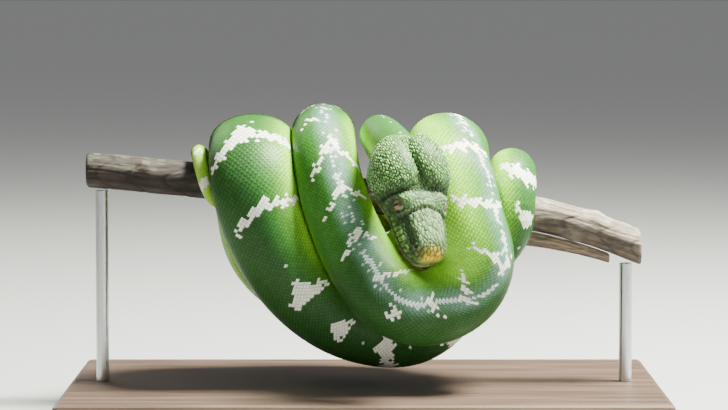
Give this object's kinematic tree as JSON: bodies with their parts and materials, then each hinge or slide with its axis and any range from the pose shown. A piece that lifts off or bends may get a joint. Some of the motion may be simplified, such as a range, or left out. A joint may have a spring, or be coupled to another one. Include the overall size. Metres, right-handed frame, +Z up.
{
  "type": "coiled emerald tree boa model on a branch",
  "caption": "Life-size green tree boa draped in coils over a cut branch, its head resting in front, on a plain display stand.",
  "frame": {"origin": "middle of the display stand's underside", "axes": "+X along the branch to its drooping end, +Z up, and the snake's face looks towards -Y"},
  "size_m": [0.32, 0.2, 0.1631],
  "materials": {
    "skin_green": "satin, fine smooth scales, emerald green with white cross bars",
    "head_green": "satin, small granular scales",
    "jaw_green_yellow": "satin, plated lip scales",
    "eye_glass": "polished, opaque iris with an upright slit pupil",
    "branch_bark": "rough grey-brown bark",
    "twig_bark": "dry pale bark",
    "stand_wood": "dark satin lacquer",
    "stand_steel": "brushed"
  },
  "bodies": {
    "root": {"head": "head_green", "lower_jaw": "jaw_green_yellow", "eye_left": "eye_glass", "eye_right": "eye_glass", "perch": "branch_bark", "perch_twig": "twig_bark", "stand_base": "stand_wood", "stand_rod_left": "stand_steel", "stand_rod_right": "stand_steel", "neck": "skin_green", "trunk_1": "skin_green", "trunk_2": "skin_green", "trunk_3": "skin_green", "trunk_4": "skin_green", "trunk_5": "skin_green", "trunk_6": "skin_green", "trunk_7": "skin_green", "trunk_8": "skin_green", "trunk_9": "skin_green", "tail_1": "skin_green", "tail_2": "skin_green"}
  },
  "joints": []
}
